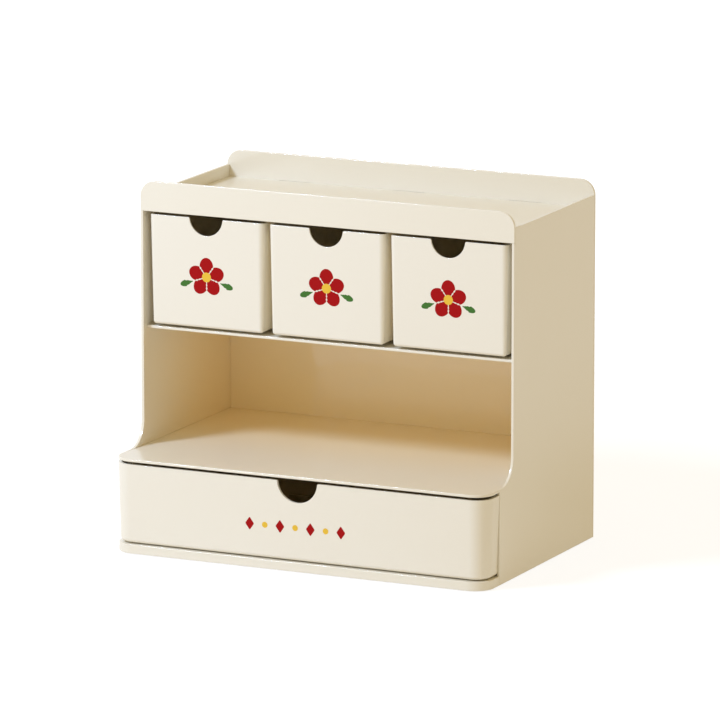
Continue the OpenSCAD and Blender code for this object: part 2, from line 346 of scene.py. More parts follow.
    def clean(self) -> None:
        """Takes out faces and edges too small to see, and turns every face outwards."""
        with self.at_hand():
            bpy.ops.mesh.remove_doubles(threshold=SAME_POINT)
            bpy.ops.mesh.dissolve_degenerate(threshold=NO_LENGTH)
            bpy.ops.mesh.normals_make_consistent(inside=False)

    def wall(self, thickness: float) -> None:
        """Gives an open shell a wall that grows inwards."""
        self._modify(
            "SOLIDIFY", thickness=thickness * MM, offset=-1, use_even_offset=True, use_quality_normals=True
        )

    def soften(self, radius: float) -> None:
        """Rounds every sharp edge a little, as a mould does.

        Args:
            radius: Radius of the rounding.
        """
        angle = math.radians(SHARP_ANGLE)
        self._modify("BEVEL", width=radius * MM, segments=SOFT_STEPS, limit_method="ANGLE", angle_limit=angle)
        self.clean()

    def twin(self, **pose: Triple) -> "Workpiece":
        """Copies the piece, with a mesh of its own, and places the copy.

        Args:
            **pose: Its shift, turn or scale, as place takes them.

        Returns:
            The copy.
        """
        self.hold()
        bpy.ops.object.duplicate(linked=False)
        copy = Workpiece(bpy.context.object)
        copy.place(**pose)
        return copy

    def gather(self, others: "list[Workpiece]") -> None:
        """Joins other pieces to this one as they are.

        Args:
            others: The pieces, which are used up.
        """
        self.hold()
        for piece in others:
            piece.obj.select_set(True)
        bpy.ops.object.join()

    def finish(self, body: Body, slot: Slot, finish: Material, node: str = "", name: str = "") -> None:
        """Cleans and shades the piece, settles it into the frame and hands it over.

        Args:
            body: The body it moves with.
            slot: The record's material slot it belongs to. Not used.
            finish: Its material.
            node: The CAD node it stands for, if any.
            name: Its name, where it isn't called after its node.
        """
        self.obj.name = self.obj.data.name = name or node.title().replace("_", "")
        self.clean()
        bpy.ops.object.shade_smooth_by_angle(angle=math.radians(SMOOTH_ANGLE))
        self._modify("WEIGHTED_NORMAL", keep_sharp=True, weight=100)
        self.place(INTO_FRAME)
        self.obj.data.materials.clear()
        self.obj.data.materials.append(finish)
        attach(self.obj, body.value)
        if node:
            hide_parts(node)
        LOG.info("%s: %d faces, rides on %s", self.obj.name, len(self.obj.data.polygons), body.value)


Forms = dict[tuple[str, str], Workpiece]


def math_node(operation: str, swapped: bool = False) -> "Callable[..., Signal]":
    """Makes an operator of signals out of one kind of Math node.

    Args:
        operation: The node's operation.
        swapped: True if the signal is the second of the two values.

    Returns:
        The operator.
    """

    def operate(signal: "Signal", other: "Signal | float" = 0.0) -> "Signal":
        """Adds the node between a signal and another value."""
        values = (other, signal) if swapped else (signal, other)
        return signal.board.add("ShaderNodeMath", dict(enumerate(values)), operation=operation)

    return operate


@dataclass(frozen=True)
class Signal:
    """An output socket of a board, which takes part in sums."""

    board: "NodeBoard"
    socket: bpy.types.NodeSocket

    __add__ = __radd__ = math_node("ADD")
    __sub__ = math_node("SUBTRACT")
    __rsub__ = math_node("SUBTRACT", swapped=True)
    __mul__ = __rmul__ = math_node("MULTIPLY")
    __lt__ = math_node("LESS_THAN")
    __gt__ = math_node("GREATER_THAN")
    __abs__ = math_node("ABSOLUTE")


@dataclass(frozen=True)
class Pattern:
    """A noise pattern: its patches per metre, its finer layers and how much it counts."""

    scale: float
    detail: float = 2.0
    share: float = 1.0


@dataclass(frozen=True)
class Relief:
    """A bump: how strongly it shows, and its depth in millimetres."""

    strength: float
    depth: float


class NodeBoard:
    """The nodes of one material or of the world."""

    def __init__(self, tree: bpy.types.NodeTree) -> None:
        """Clears a node tree for use."""
        self.tree = tree
        self.tree.nodes.clear()

    def add(self, kind: str, inputs: dict | None = None, output: int | str = 0, **settings: object) -> Signal:
        """Adds one node.

        Args:
            kind: The node's type.
            inputs: A value or a Signal for each named or numbered socket.
            output: Number or name of the output to return.
            **settings: Its settings, such as an operation.

        Returns:
            The chosen output.
        """
        node = self.tree.nodes.new(kind)
        for key, value in settings.items():
            setattr(node, key, value)
        for key, value in (inputs or {}).items():
            if isinstance(value, Signal):
                self.tree.links.new(value.socket, node.inputs[key])
            else:
                node.inputs[key].default_value = value
        return Signal(self, node.outputs[output] if node.outputs else None)

    def mix(self, factor: Signal | float, first: Signal | Colour, second: Signal | Colour) -> Signal:
        """Mixes two colours by the share of the second."""
        inputs = {MIX_FACTOR: factor, MIX_FIRST: first, MIX_SECOND: second}
        return self.add("ShaderNodeMix", inputs, MIX_RESULT, data_type="RGBA")

    def noise(self, place: Signal, pattern: Pattern) -> Signal:
        """Adds a noise pattern, which is about 0.5 in the middle."""
        inputs = {"Vector": place, "Scale": pattern.scale, "Detail": pattern.detail}
        return self.add("ShaderNodeTexNoise", inputs)

    def bump(self, height: Signal, relief: Relief, below: Signal | None = None) -> Signal:
        """Adds a bump.

        Args:
            height: The pattern that it follows.
            relief: How it shows.
            below: The normals of a coarser or finer bump that it lies on, if any.

        Returns:
            The normals.
        """
        inputs = {"Strength": relief.strength, "Distance": relief.depth * MM, "Height": height}
        if below is not None:
            inputs["Normal"] = below
        return self.add("ShaderNodeBump", inputs)

    def looked_at(self) -> Signal:
        """Returns 1 for rays that show a surface to the camera, also by a reflection or through glass."""
        kinds = ("Camera", "Glossy", "Transmission")
        return sum(self.add("ShaderNodeLightPath", output=f"Is {kind} Ray") for kind in kinds)

    def coat(self, inputs: dict) -> None:
        """Ends a material with a Principled surface."""
        surface = self.add("ShaderNodeBsdfPrincipled", inputs)
        self.add("ShaderNodeOutputMaterial", {"Surface": surface})


@dataclass(frozen=True)
class Finish:
    """A named finish, which sets out the nodes of its material."""

    name: str

    def paint(self, place: Signal) -> None:
        """Sets out the nodes over the piece's Object coordinates."""
        raise NotImplementedError

    def material(self) -> Material:
        """Makes the material.

        Returns:
            The finished material.
        """
        material = bpy.data.materials.new(self.name)
        material.use_nodes = True
        board = NodeBoard(material.node_tree)
        self.paint(board.add("ShaderNodeTexCoord", output="Object"))
        return material


@dataclass(frozen=True)
class PaintedShade:
    """Painted shade in an inner space: its walls take on a warmer tone the deeper they lie, where shade
    falls.

    Levels are its floor and ceiling in the frame. Depths are where along Y the tone starts, is full and ends.
    """

    tone: Colour
    half_width: float
    levels: Pair
    depths: Triple

    def mask(self, place: Signal) -> Signal:
        """Marks the walls that take the painted shade.

        Args:
            place: The Object coordinates.

        Returns:
            The mask, 1 deep inside and 0 outside.
        """
        board = place.board
        x, y, z = (board.add("ShaderNodeSeparateXYZ", {0: place}, axis) for axis in "XYZ")
        low, high = self.levels
        start, end, back = self.depths
        inside = (abs(x) < self.half_width * MM) * (z > low * MM) * (z < high * MM) * (y < back * MM)
        reach = {"Value": y, "From Min": start * MM, "From Max": end * MM}
        return inside * board.add("ShaderNodeMapRange", reach, interpolation_type="SMOOTHSTEP")


@dataclass(frozen=True)
class GlossPlastic(Finish):
    """Glossy moulded plastic, with the faint flow and fine skin that moulding leaves, and painted shade deep
    in its inner spaces.
    """

    colour: Colour
    deeper: Colour
    shelter: PaintedShade
    roughness: float = 0.31
    flow: Pattern = Pattern(9, 2, 0.4)
    speckle: Pattern = Pattern(420, 2, 0.2)
    smudge: Pattern = Pattern(18, 2, 0.08)
    skin: Pattern = Pattern(900, 1)
    skin_relief: Relief = Relief(0.25, 0.04)
    waves: Pattern = Pattern(22, 0)
    wave_relief: Relief = Relief(0.12, 0.5)
    gloss: float = 0.25
    coat: float = 0.4
    coat_ior: float = 2.1
    coat_roughness: float = 0.05

    def paint(self, place: Signal) -> None:
        """Sets out a tinted, softly waved plastic under a clear gloss, with painted shade mixed into its
        colour in inner spaces.

        Args:
            place: The Object coordinates.
        """
        board = place.board
        flow, speckle, smudge = (
            board.noise(place, pattern) * pattern.share for pattern in (self.flow, self.speckle, self.smudge)
        )
        colour = board.mix(flow + speckle, self.colour, self.deeper)
        fine = board.bump(board.noise(place, self.skin), self.skin_relief)
        board.coat({
            # Painted shade: a warmer tone mixed in on inner walls where shade falls
            "Base Color": board.mix(self.shelter.mask(place), colour, self.shelter.tone),
            "Roughness": smudge + (self.roughness - self.smudge.share / 2),
            "Normal": board.bump(board.noise(place, self.waves), self.wave_relief, fine),
            "Specular IOR Level": self.gloss,
            "Coat Weight": self.coat,
            "Coat IOR": self.coat_ior,
            "Coat Roughness": self.coat_roughness,
        })


@dataclass(frozen=True)
class MattFinish(Finish):
    """A matt surface of uneven tone, with a fine grain."""

    colour: Colour
    paler: Colour
    roughness: float
    tone: Pattern
    grain: Pattern
    relief: Relief
    gloss: float = 0.5

    def paint(self, place: Signal) -> None:
        """Sets out the ground, its paler patches and the grain.

        Args:
            place: The Object coordinates.
        """
        board = place.board
        grain = board.noise(place, self.grain)
        tone = board.noise(place, self.tone) * self.tone.share
        board.coat({
            "Base Color": board.mix(tone, self.colour, self.paler),
            "Roughness": grain * self.grain.share + self.roughness,
            "Normal": board.bump(grain, self.relief),
            "Specular IOR Level": self.gloss,
        })


@dataclass(frozen=True)
class MattRubber(MattFinish):
    """Dark matt rubber with a dusty, slightly grained skin."""

    roughness: float = 0.78
    tone: Pattern = Pattern(120, 3, 0.5)
    grain: Pattern = Pattern(1400, 3, 0.1)
    relief: Relief = Relief(0.5, 0.1)


@dataclass(frozen=True)
class PrintInk(MattFinish):
    """Printed ink that lets a little of the plastic's tone through."""

    roughness: float = 0.38
    tone: Pattern = Pattern(260, 3, 0.35)
    grain: Pattern = Pattern(260, 3, 0.1)
    relief: Relief = Relief(0.2, 0.03)
    gloss: float = 0.1


@dataclass(frozen=True)
class StudioFloor(Finish):
    """A white floor that keeps a light shadow near the object and fades to pure white further out."""

    white: float = 0.9
    shadow_share: float = 0.3
    lift: float = 1.2
    fade_from: float = 0.35
    fade_over: float = 0.45

    def paint(self, place: Signal) -> None:
        """Sets out white cloth that glows where the camera looks at it.

        Args:
            place: The Object coordinates.
        """
        board = place.board
        distance = board.add("ShaderNodeVectorMath", {0: place}, "Value", operation="LENGTH")
        fade = board.add("ShaderNodeMapRange", {
            "Value": distance, "From Min": self.fade_from, "From Max": self.fade_from + self.fade_over,
            "To Min": 1 - self.shadow_share, "To Max": 1.0,
        })
        cloth = board.add("ShaderNodeBsdfDiffuse", {"Color": (self.white, self.white, self.white, 1)})
        glow = board.add("ShaderNodeEmission", {"Color": (1, 1, 1, 1), "Strength": self.lift})
        surface = board.add("ShaderNodeMixShader", {0: board.looked_at() * fade, 1: cloth, 2: glow})
        board.add("ShaderNodeOutputMaterial", {"Surface": surface})


@dataclass
class Cabinet:
    """The open cabinet: sides, back, lip, tray floor, two shelves, base and feet."""

    width: float = 280.0
    depth: float = CABINET_DEPTH
    panel: float = 2.1
    shelf: float = 2.0
    upper_setback: float = 45.3
    lower_setback: float = 23.0
    step_radius: float = 18.0
    inner_steps: int = 28
    front_radius: float = 14.0
    shelf_setback: float = 5.5
    end_radius: float = 11.0
    groove: float = 1.0
    seat_gap: float = 0.1
    tab_width: float = 24.0
    tab_offset: float = 88.0
    base_height: float = 6.3
    base_skin: float = 2.0
    base_rib: float = 1.5
    base_rib_count: int = 5
    tongue_inset: float = 0.02
    rib_lift: float = 0.05
    cross_rib_lift: float = 0.07
    socket_lift: float = 0.03
    lower_shelf_z: float = 64.0
    middle_shelf_z: float = 147.0
    tray_floor_z: float = 229.4
    side_height: float = 240.0
    end_height: float = 250.5
    rail_width: float = 4.0
    rail_height: float = 1.7
    rail_y: float = 60.3
    rail_length: float = 111.7
    foot_radius: float = 7.0
    foot_thickness: float = 2.0
    foot_inset: float = 20.0
    foot_edge: float = 0.3
    ring_inset: float = 2.2
    ring_width: float = 0.7
    ring_depth: float = 0.3
    socket_wall: float = 1.8
    edge: float = 0.45

    @property
    def half(self) -> float:
        """Half of the width."""
        return self.width / 2

    @property
    def inner_half(self) -> float:
        """Half of the width between the side panels."""
        return self.half - self.panel

    @property
    def tongue_half(self) -> float:
        """Half of the width of a plate with its tongues."""
        return self.inner_half + self.groove - self.seat_gap

    @property
    def back_y(self) -> float:
        """Front face of the back panel."""
        return self.depth - self.panel

    @property
    def lip_back_y(self) -> float:
        """Back face of the lip."""
        return self.upper_setback + self.panel

    @property
    def bay_floor_z(self) -> float:
        """Upper face of the lower shelf."""
        return self.lower_shelf_z + self.shelf

    def build(self, plastic: Material, rubber: Material) -> None:
        """Models and hands over every piece.

        Args:
            plastic: Finish of the panels.
            rubber: Finish of the feet.
        """
        left = self.side_panel()
        pieces = {
            "left_side_panel": left,
            "right_side_panel": left.twin(scale=(-1, 1, 1)),
            "back_panel": self.back_panel(),
            "front_lip": self.front_lip(),
            "tray_floor": self.tray_floor(),
            "middle_shelf": self.middle_shelf(),
            "lower_shelf": self.lower_shelf(),
            "base_plate": self.base_plate(),
        }
        for node, piece in pieces.items():
            piece.finish(Body.CABINET, Slot.CABINET, plastic, node)
        self.feet().finish(Body.CABINET, Slot.RUBBER, rubber, "rubber_feet")

    def side_panel(self) -> Workpiece:
        """Cuts the left side panel with its step, and its four grooves.

        Returns:
            The panel, upright in its place.
        """
        front, step, lip_back = self.lower_setback, self.upper_setback, self.lip_back_y
        panel = Workpiece.sheet((front, 0), (self.back_y, self.side_height))
        panel.score([step, lip_back], [self.bay_floor_z, self.tray_floor_z])
        panel.trim(lambda p: p.x < step and p.y > self.bay_floor_z)
        panel.trim(lambda p: p.x < lip_back and p.y > self.tray_floor_z)
        panel.fuse()
        panel.round_off(
            self.step_radius, lambda p: near(p.x, step) and near(p.y, self.bay_floor_z), self.inner_steps
        )
        panel.thicken(self.panel)
        panel.soften(self.edge)
        panel.place((-self.half, 0, 0), (90, 0, 90))
        for y, z, thickness in (
            (front - OVERRUN, self.base_height - self.base_skin, self.base_skin),
            (front - OVERRUN, self.lower_shelf_z, self.shelf),
            (step + self.shelf_setback - self.seat_gap, self.middle_shelf_z, self.shelf),
            (lip_back - OVERRUN, self.tray_floor_z, self.shelf),
        ):
            panel.subtract(Workpiece.block(
                (-self.inner_half - self.groove, y, z - self.seat_gap),
                (-self.inner_half + OVERRUN, self.back_y + OVERRUN, z + thickness + self.seat_gap),
            ))
        return panel

    def back_panel(self) -> Workpiece:
        """Cuts the back panel, with its two rounded corners and nine slots.

        Returns:
            The panel, in place.
        """
        panel = Workpiece.sheet((-self.half, 0), (self.half, self.end_height))
        panel.round_off(self.end_radius, lambda p: near(p.y, self.end_height))
        panel.thicken(self.panel)
        panel.soften(self.edge)
        panel.place((0, self.depth, 0), (90, 0, 0))
        reach = self.tab_width / 2 + self.seat_gap
        for z in (self.lower_shelf_z, self.middle_shelf_z, self.tray_floor_z):
            for x in (-self.tab_offset, 0, self.tab_offset):
                panel.subtract(Workpiece.block(
                    (x - reach, self.back_y - OVERRUN, z - self.seat_gap),
                    (x + reach, self.depth + OVERRUN, z + self.shelf + self.seat_gap),
                ))
        return panel

    def front_lip(self) -> Workpiece:
        """Cuts the lip of the tray, with its rebate for the tray floor.

        Returns:
            The lip, in place.
        """
        lip = Workpiece.sheet((-self.half, self.tray_floor_z), (self.half, self.end_height))
        lip.round_off(self.end_radius, lambda p: near(p.y, self.end_height))
        lip.thicken(self.panel)
        lip.soften(self.edge)
        lip.place((0, self.lip_back_y, 0), (90, 0, 0))
        reach = self.inner_half + self.groove
        lip.subtract(Workpiece.block(
            (-reach, self.lip_back_y - self.groove, self.tray_floor_z - OVERRUN),
            (reach, self.lip_back_y + OVERRUN, self.tray_floor_z + self.shelf + self.seat_gap),
        ))
        return lip

    def _tabbed_sheet(self, half: float, front_y: float, narrow_from: float) -> Workpiece:
        """Lays out a plate's outline with three tabs at its back.

        Args:
            half: Half of its width at the front.
            front_y: Its front edge.
            narrow_from: Where it narrows to fit between the side panels.

        Returns:
            The flat outline.
        """
        sheet = Workpiece.sheet((-half, front_y), (half, self.depth))
        reach = self.tab_width / 2
        edges = [x + side * reach for x in (-self.tab_offset, 0, self.tab_offset) for side in (-1, 1)]
        sheet.score(edges, [self.back_y])
        tabs = list(zip(edges[::2], edges[1::2]))
        sheet.trim(lambda p: p.y > self.back_y and not any(low < p.x < high for low, high in tabs))
        if half > self.tongue_half + self.seat_gap:
            sheet.score([-self.tongue_half, self.tongue_half], [narrow_from])
            sheet.trim(lambda p: abs(p.x) > self.tongue_half and p.y > narrow_from)
        sheet.fuse()
        return sheet

    def tray_floor(self) -> Workpiece:
        """Cuts the floor of the top tray.

        Returns:
            The plate, in place.
        """
        front_y = self.lip_back_y - self.groove + self.seat_gap
        floor = self._tabbed_sheet(self.tongue_half, front_y, self.depth)
        floor.thicken(self.shelf)
        floor.place((0, 0, self.tray_floor_z))
        return floor

    def middle_shelf(self) -> Workpiece:
        """Cuts the shelf of the small drawers, and sets a guide rail under each drawer.

        Returns:
            The shelf, in place.
        """
        front_y = self.upper_setback + self.shelf_setback
        shelf = self._tabbed_sheet(self.tongue_half, front_y, self.depth)
        shelf.thicken(self.shelf)
        shelf.soften(self.edge)
        top = self.middle_shelf_z + self.shelf
        shelf.place((0, 0, self.middle_shelf_z))
        for column in (-1, 0, 1):
            middle = column * COLUMN_PITCH
            rail = Workpiece.block(
                (middle - self.rail_width / 2, self.rail_y, top - OVERRUN),
                (middle + self.rail_width / 2, self.rail_y + self.rail_length, top + self.rail_height),
            )
            rail.soften(self.edge)
            shelf.unite(rail)
        return shelf

    def lower_shelf(self) -> Workpiece:
        """Cuts the floor of the open bay, as wide as the cabinet at its front.

        Returns:
            The shelf, in place.
        """
        shelf = self._tabbed_sheet(self.half, 0, self.lower_setback)
        shelf.round_off(self.front_radius, lambda p: near(abs(p.x), self.half) and near(p.y, 0))
        shelf.thicken(self.shelf)
        shelf.soften(self.edge)
        shelf.place((0, 0, self.lower_shelf_z))
        return shelf

    def _foot_places(self) -> list[Pair]:
        """Returns the middles of the four feet."""
        reach = self.half - self.foot_inset
        return [(x, y) for x in (-reach, reach) for y in (self.foot_inset, self.depth - self.foot_inset)]

    def base_plate(self) -> Workpiece:
        """Models the base with its tongues, and below it the skirt, ribs and sockets.

        Returns:
            The base, in place.
        """
        base = Workpiece.sheet((-self.half, 0), (self.half, self.back_y))
        base.score([-self.inner_half, self.inner_half], [self.lower_setback])
        base.trim(lambda p: abs(p.x) > self.inner_half and p.y > self.lower_setback)
        base.fuse()
        base.round_off(self.front_radius, lambda p: near(abs(p.x), self.half) and near(p.y, 0))
        base.thicken(self.base_height)
        base.soften(self.edge)
        skin_z = self.base_height - self.base_skin
        inset = self.tongue_inset
        base.sink(lambda p: near(p.z, 0, inset), self.panel - self.edge, way=(0, 0, skin_z))
        base.unite(Workpiece.block(
            (-self.tongue_half, self.lower_setback + inset, skin_z + inset),
            (self.tongue_half, self.back_y - inset, self.base_height - inset),
        ))
        rib_top = skin_z + self.base_skin / 2
        half_rib = self.base_rib / 2
        for rib in range(1, self.base_rib_count + 1):
            x = -self.inner_half + 2 * self.inner_half * rib / (self.base_rib_count + 1)
            base.unite(Workpiece.block(
                (x - half_rib, self.panel / 2, self.rib_lift),
                (x + half_rib, self.back_y - self.panel / 2, rib_top),
            ))
        reach = self.inner_half - self.panel / 2
        middle = self.depth / 2
        base.unite(Workpiece.block(
            (-reach, middle - half_rib, self.cross_rib_lift),
            (reach, middle + half_rib, rib_top - self.rib_lift),
        ))
        height = rib_top - 2 * self.rib_lift
        for x, y in self._foot_places():
            place = (x, y, height / 2 + self.socket_lift)
            base.unite(Workpiece.rod(self.foot_radius + self.socket_wall, height, place))
        seat = self.foot_thickness - FOOT_REACH
        for x, y in self._foot_places():
            base.subtract(Workpiece.rod(self.foot_radius + self.seat_gap, 2 * seat, (x, y, 0)))
        return base

    def feet(self) -> Workpiece:
        """Models one rubber foot with a ring pressed into its sole, and copies it to the other corners.

        Returns:
            The feet, in place.
        """
        places = self._foot_places()
        x, y = places[0]
        middle = (x, y, self.foot_thickness / 2 - FOOT_REACH)
        foot = Workpiece.rod(self.foot_radius, self.foot_thickness, middle)
        foot.sink(lambda p: near(p.z, -FOOT_REACH), self.ring_inset)
        foot.sink(
            lambda p: near(p.z, -FOOT_REACH) and near(p.x, x) and near(p.y, y),
            self.ring_width,
            -self.ring_depth,
        )
        foot.soften(self.foot_edge)
        foot.gather([foot.twin(shift=(to_x - x, to_y - y, 0)) for to_x, to_y in places[1:]])
        return foot


@dataclass
class DrawerShell:
    """A moulded drawer: drafted walls of one thickness, a rounded lower edge and a finger notch."""

    width: float
    height: float
    front_y: float
    rear_y: float
    floor_z: float
    wall: float
    corner: float
    rear_corner: float
    fillet: float
    draft: float
    notch_radius: float
    rib_offset: float
    rib_height: float
    rib_rear: float
    rib_width: float = 2.4
    rib_front: float = 14.0
    notch_rise: float = 0.4
    cutter_length: float = 12.0
    cutter_middle: float = 2.0
    cutter_points: int = 48
    fillet_steps: int = 7
    mouth: float = 1.0
    mouth_steps: int = 5
    mouth_slack: Pair = (0.4, 0.12)
    edge: float = 0.4

    @property
    def rim_z(self) -> float:
        """Level of the rim."""
        return self.floor_z + self.height

    @property
    def lean(self) -> float:
        """How far a wall leans in from its rim to the floor."""
        return self.height * math.tan(math.radians(self.draft))

    def outline(self) -> Workpiece:
        """Lays out the rim of the drawer, a rectangle with four rounded corners.

        Returns:
            The flat outline.
        """
        sheet = Workpiece.sheet((-self.width / 2, self.front_y), (self.width / 2, self.rear_y))
        sheet.round_off(self.corner, lambda p: near(p.y, self.front_y))
        sheet.round_off(self.rear_corner, lambda p: near(p.y, self.rear_y))
        return sheet

    def shape_skin(self, skin: Workpiece) -> None:
        """Does what the open skin of a drawer needs before it gets its wall."""

    def build(self) -> Workpiece:
        """Models the drawer.

        Returns:
            The drawer, in its place.
        """
        shell = self.outline()
        shell.place((0, 0, self.rim_z))
        shell.sink(lambda p: near(p.z, self.rim_z), self.lean, -self.height)
        shell.turn_inside_out()
        self.shape_skin(shell)
        shell.round_off(self.fillet, lambda p: near(p.z, self.floor_z), self.fillet_steps, Grip.EDGES)
        shell.wall(self.wall)
        middle = (0, self.front_y + self.cutter_middle, self.rim_z + self.notch_rise)
        shell.subtract(Workpiece.rod(
            self.notch_radius, self.cutter_length, middle, along_y=True, points=self.cutter_points
        ))
        across, up = self.mouth_slack
        front_end = self.front_y + self.cutter_length / 2
        shell.round_off(self.mouth, lambda p: (
            near(abs(p.x), self.notch_radius, across) and near(p.z, self.rim_z, up) and p.y < front_end
        ), self.mouth_steps, Grip.EDGES)
        shell.soften(self.edge)
        for side in (-1, 1):
            x = side * self.rib_offset
            shell.unite(Workpiece.block(
                (x - self.rib_width / 2, self.front_y + self.rib_front, self.floor_z - self.rib_height),
                (x + self.rib_width / 2, self.rib_rear, self.floor_z + self.wall / 2),
            ))
        return shell

    def print_on(self, forms: Forms, middle: Pair, shift: float, body: Body, inks: Inks) -> None:
        """Lays printed forms on the leaning front of the drawer.

        Args:
            forms: The flat forms of each name and ink.
            middle: Where their middle comes, across and up.
            shift: How far the drawer stands to the right.
            body: The body they ride on.
            inks: The material of each ink.
        """
        x, z = middle
        lean = (self.rim_z - z) * math.tan(math.radians(self.draft))
        place = (x + shift, self.front_y + lean + INK_BEDDING, z)
        for (name, ink), form in forms.items():
            copy = form.twin(shift=place, turn=(90 + self.draft, 0, 0))
            copy.finish(body, Slot.DRAWER, inks[ink], name=f"{name}{body.name.title()}")


@dataclass
class WideDrawer(DrawerShell):
    """The wide drawer, with a front as wide as the cabinet and shoulders behind it."""

    body_half: float = 136.4
    shoulder_y: float = 22.5
    shoulder_reach: float = 3.0
    shoulder_slack: float = 0.2

    def outline(self) -> Workpiece:
        """Lays out the rim, wide in front and narrower behind the shoulders.

        Returns:
            The flat outline.
        """
        half = self.width / 2
        sheet = Workpiece.sheet((-half, self.front_y), (half, self.rear_y))
        sheet.score([-self.body_half, self.body_half], [self.shoulder_y])
        sheet.trim(lambda p: abs(p.x) > self.body_half and p.y > self.shoulder_y)
        sheet.fuse()
        sheet.round_off(self.corner, lambda p: near(abs(p.x), half) and near(p.y, self.front_y))
        sheet.round_off(
            self.rear_corner, lambda p: near(abs(p.x), self.body_half) and near(p.y, self.rear_y)
        )
        return sheet

    def shape_skin(self, skin: Workpiece) -> None:
        """Sets the shoulders upright again, so that they stay clear of the side panels.

        Args:
            skin: The open skin.
        """
        y = self.shoulder_y - self.lean
        inner = self.body_half - self.shoulder_reach
        skin.pull(
            lambda p: near(p.z, self.floor_z) and near(p.y, y, self.shoulder_slack) and abs(p.x) > inner,
            (0, self.lean, 0),
        )


@dataclass(frozen=True)
class Drop:
    """A petal or leaf, given by its size, the width of its root as a share, and its root's distance out."""

    length: float
    width: float
    root: float
    start: float
    narrow_below: Triple = (0.5, 0.3, 0.15)

    def cut(self) -> Workpiece:
        """Shapes the form, pointing up.

        Returns:
            The flat form.
        """
        form = Workpiece.disc(self.length / 2, PETAL_POINTS)
        form.place((0, self.start + self.length / 2, 0), scale=(self.width / self.length, 1, 1))
        factor = self.root ** (1 / len(self.narrow_below))
        for share in self.narrow_below:
            with form.at_hand(Grip.VERTICES, lambda p: p.y < self.start + self.length * share):
                bpy.ops.transform.resize(value=(factor, 1, 1), center_override=(0, 0, 0))
        return form


@dataclass
class Blossom:
    """A printed blossom with petals, a round heart and two leaves."""

    petals: int = 5
    petal: Drop = Drop(12.4, 10.3, 0.45, 1.2)
    leaf: Drop = Drop(10.0, 4.6, 0.35, 10.9)
    leaf_turn: float = 108.0
    heart: float = 3.4
    layer: float = 0.02

    def parts(self) -> Forms:
        """Models the flat forms.

        Returns:
            The joined forms of each name and ink.
        """
        petal = self.petal.cut()
        turns = [360 / self.petals * step for step in range(1, self.petals)]
        petal.gather([petal.twin(turn=(0, 0, turn)) for turn in turns])
        heart = Workpiece.disc(self.heart, PETAL_POINTS)
        heart.place((0, 0, self.layer))
        leaf = self.leaf.cut()
        other = leaf.twin(turn=(0, 0, -self.leaf_turn))
        leaf.place(turn=(0, 0, self.leaf_turn))
        leaf.gather([other])
        leaf.place((0, 0, -self.layer))
        return {
            ("BlossomPetals", "red"): petal,
            ("BlossomHeart", "yellow"): heart,
            ("BlossomLeaves", "green"): leaf,
        }


@dataclass
class OrnamentRow:
    """A printed row of small lozenges and dots."""

    count: int = 7
    pitch: float = 11.4
    lozenge: float = 6.6
    corner: float = 0.9
    corner_steps: int = 6
    squash: float = 0.72
    dot: float = 2.1

    def parts(self) -> Forms:
        """Models the flat forms.

        Returns:
            The joined forms of each name and ink.
        """
        half = self.lozenge / 2
        lozenge = Workpiece.sheet((-half, -half), (half, half))
        lozenge.round_off(self.corner, lambda p: True, self.corner_steps)
        lozenge.place(turn=(0, 0, 45))
        lozenge.place(scale=(self.squash, 1, 1))
        dot = Workpiece.disc(self.dot)
        middle = self.count // 2
        places = [(step - middle) * self.pitch for step in range(self.count)]
        lozenges = [lozenge.twin(shift=(x, 0, 0)) for x in places[2::2]]
        dots = [dot.twin(shift=(x, 0, 0)) for x in places[3::2]]
        lozenge.place((places[0], 0, 0))
        dot.place((places[1], 0, 0))
        lozenge.gather(lozenges)
        dot.gather(dots)
        return {("RowLozenges", "red"): lozenge, ("RowDots", "yellow"): dot}


@dataclass
class DrawerSet:
    """The four drawers with what is printed on them."""

    small_print: Pair = (0.0, 186.7)
    wide_print: Pair = (-1.8, 30.0)

    def build(self, small_plastic: Material, wide_plastic: Material, inks: Inks) -> None:
        """Models and hands over the drawers.

        Args:
            small_plastic: Finish of the small drawers.
            wide_plastic: Finish of the wide drawer.
            inks: The material of each ink.
        """
        small = DrawerShell(
            width=86.667, height=76.4, front_y=46.3, rear_y=178.1, floor_z=151.0,
            wall=1.5, corner=4.0, rear_corner=4.0, fillet=2.2, draft=1.2, notch_radius=12.5,
            rib_offset=3.7, rib_height=1.7, rib_rear=171.7,
        )
        wide = WideDrawer(
            width=279.6, height=55.0, front_y=0.9, rear_y=178.1, floor_z=7.0,
            wall=2.0, corner=12.5, rear_corner=8.0, fillet=2.5, draft=1.3, notch_radius=15.0,
            rib_offset=105.0, rib_height=0.4, rib_rear=170.1,
        )
        model = small.build()
        blossom = Blossom().parts()
        row = OrnamentRow().parts()
        prints = [*blossom.values(), *row.values()]
        for form in prints:
            form.thicken(INK_DEPTH)
        places = {Body.LEFT: -COLUMN_PITCH, Body.MIDDLE: 0.0, Body.RIGHT: COLUMN_PITCH}
        for body, shift in places.items():
            drawer = model.twin(shift=(shift, 0, 0))
            drawer.finish(body, Slot.DRAWER, small_plastic, f"small_drawer_{body.name.lower()}")
            small.print_on(blossom, self.small_print, shift, body, inks)
        wide.build().finish(Body.WIDE, Slot.DRAWER, wide_plastic, "wide_drawer")
        wide.print_on(row, self.wide_print, 0.0, Body.WIDE, inks)
        for pattern in [model, *prints]:
            bpy.data.objects.remove(pattern.obj, do_unlink=True)


